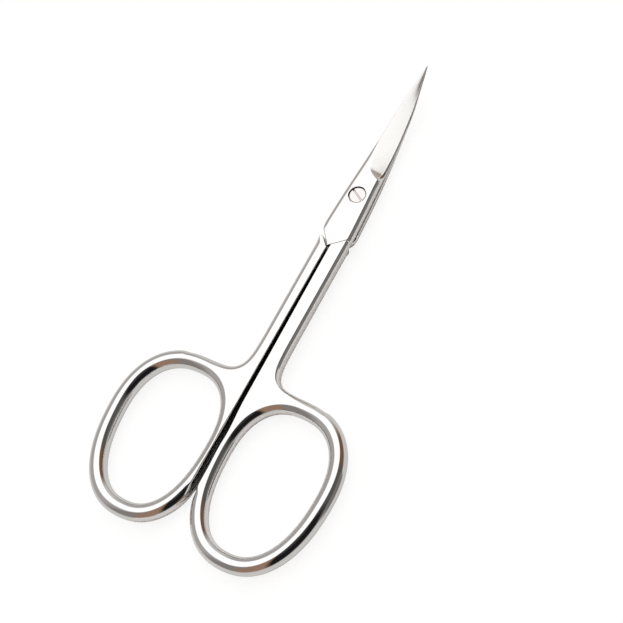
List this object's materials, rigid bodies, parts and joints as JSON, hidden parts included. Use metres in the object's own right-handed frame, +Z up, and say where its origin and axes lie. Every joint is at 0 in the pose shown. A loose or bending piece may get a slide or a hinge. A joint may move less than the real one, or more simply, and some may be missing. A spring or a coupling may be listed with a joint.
{
  "type": "grooming scissors",
  "caption": "Curved cuticle scissors: slim blades that curve upwards, long straight shanks, oval finger rings and a flush slotted pivot screw.",
  "frame": {"origin": "centre of the closed scissors' footprint, on the plane that the joint's underside lies on", "axes": "+Y along the scissors towards the tips, +Z up along the pivot screw towards its slotted head, +X to the right seen from above with the tips away"},
  "size_m": [0.043, 0.092, 0.0047],
  "materials": {
    "upper_half": "polished plated steel",
    "lower_half": "polished plated steel",
    "pivot_screw": "plated steel, finely brushed"
  },
  "bodies": {
    "lower_half": {"lower_half": "lower_half", "pivot_screw": "pivot_screw"},
    "upper_half": {"upper_half": "upper_half"}
  },
  "joints": [
    {"name": "pivot", "type": "hinge", "parent": "lower_half", "child": "upper_half", "pos_m": [0, 0.01924, 0.00176], "axis": [0, 0, 1], "range_deg": [0, 60]}
  ]
}
